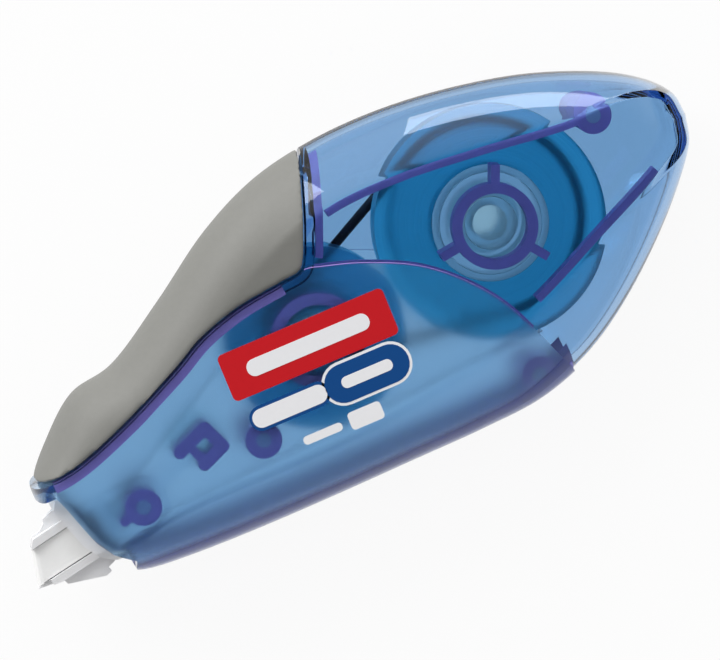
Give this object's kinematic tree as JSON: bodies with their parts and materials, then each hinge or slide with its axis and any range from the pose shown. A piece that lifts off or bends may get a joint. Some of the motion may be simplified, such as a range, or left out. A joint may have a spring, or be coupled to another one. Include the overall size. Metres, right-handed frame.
{
  "type": "correction tape",
  "caption": "Belt-driven correction tape: two translucent casings, a soft thumb grip, a white transfer tip, and spools that turn together inside.",
  "frame": {"origin": "Middle of the footprint with the object lying on its right casing, on the surface it lies on", "axes": "+X from the transfer tip to the tail, +Y from the sole to the grip's side, +Z out of the left casing, along the spools' axes"},
  "size_m": [0.0974, 0.0426, 0.0166],
  "materials": {
    "casing": "translucent blue, glossy on the window and finely frosted on the lower panel",
    "grip": "soft-touch, matt",
    "tip": "milky white, slightly translucent",
    "spool": "satin",
    "flange": "satin",
    "pack": "matt, wound film",
    "tape": "chalky white",
    "carrier": "thin release film",
    "belt": "matt"
  },
  "bodies": {
    "casing": {"left_casing": "casing", "right_casing": "casing", "soft_grip": "grip", "transfer_tip": "tip", "drive_belt": "belt", "feed_tape": "tape", "tip_tape": "tape", "return_tape": "carrier"},
    "supply": {"supply_spool": "spool", "supply_core": "spool", "tape_pack": "pack"},
    "take_up": {"take_up_spool": "flange", "take_up_flange": "flange", "used_carrier": "carrier"}
  },
  "joints": [
    {"name": "supply_spin", "type": "hinge", "parent": "casing", "child": "supply", "pos_m": [0.02078, 0.00305, 0.0083], "axis": [0, 0, 1], "continuous": true},
    {"name": "take_up_spin", "type": "hinge", "parent": "casing", "child": "take_up", "pos_m": [-0.00498, -0.00144, 0.0083], "axis": [0, 0, 1], "continuous": true}
  ],
  "couplings": [
    {"joint": "take_up_spin", "follows": "supply_spin", "ratio": 2.7222}
  ]
}
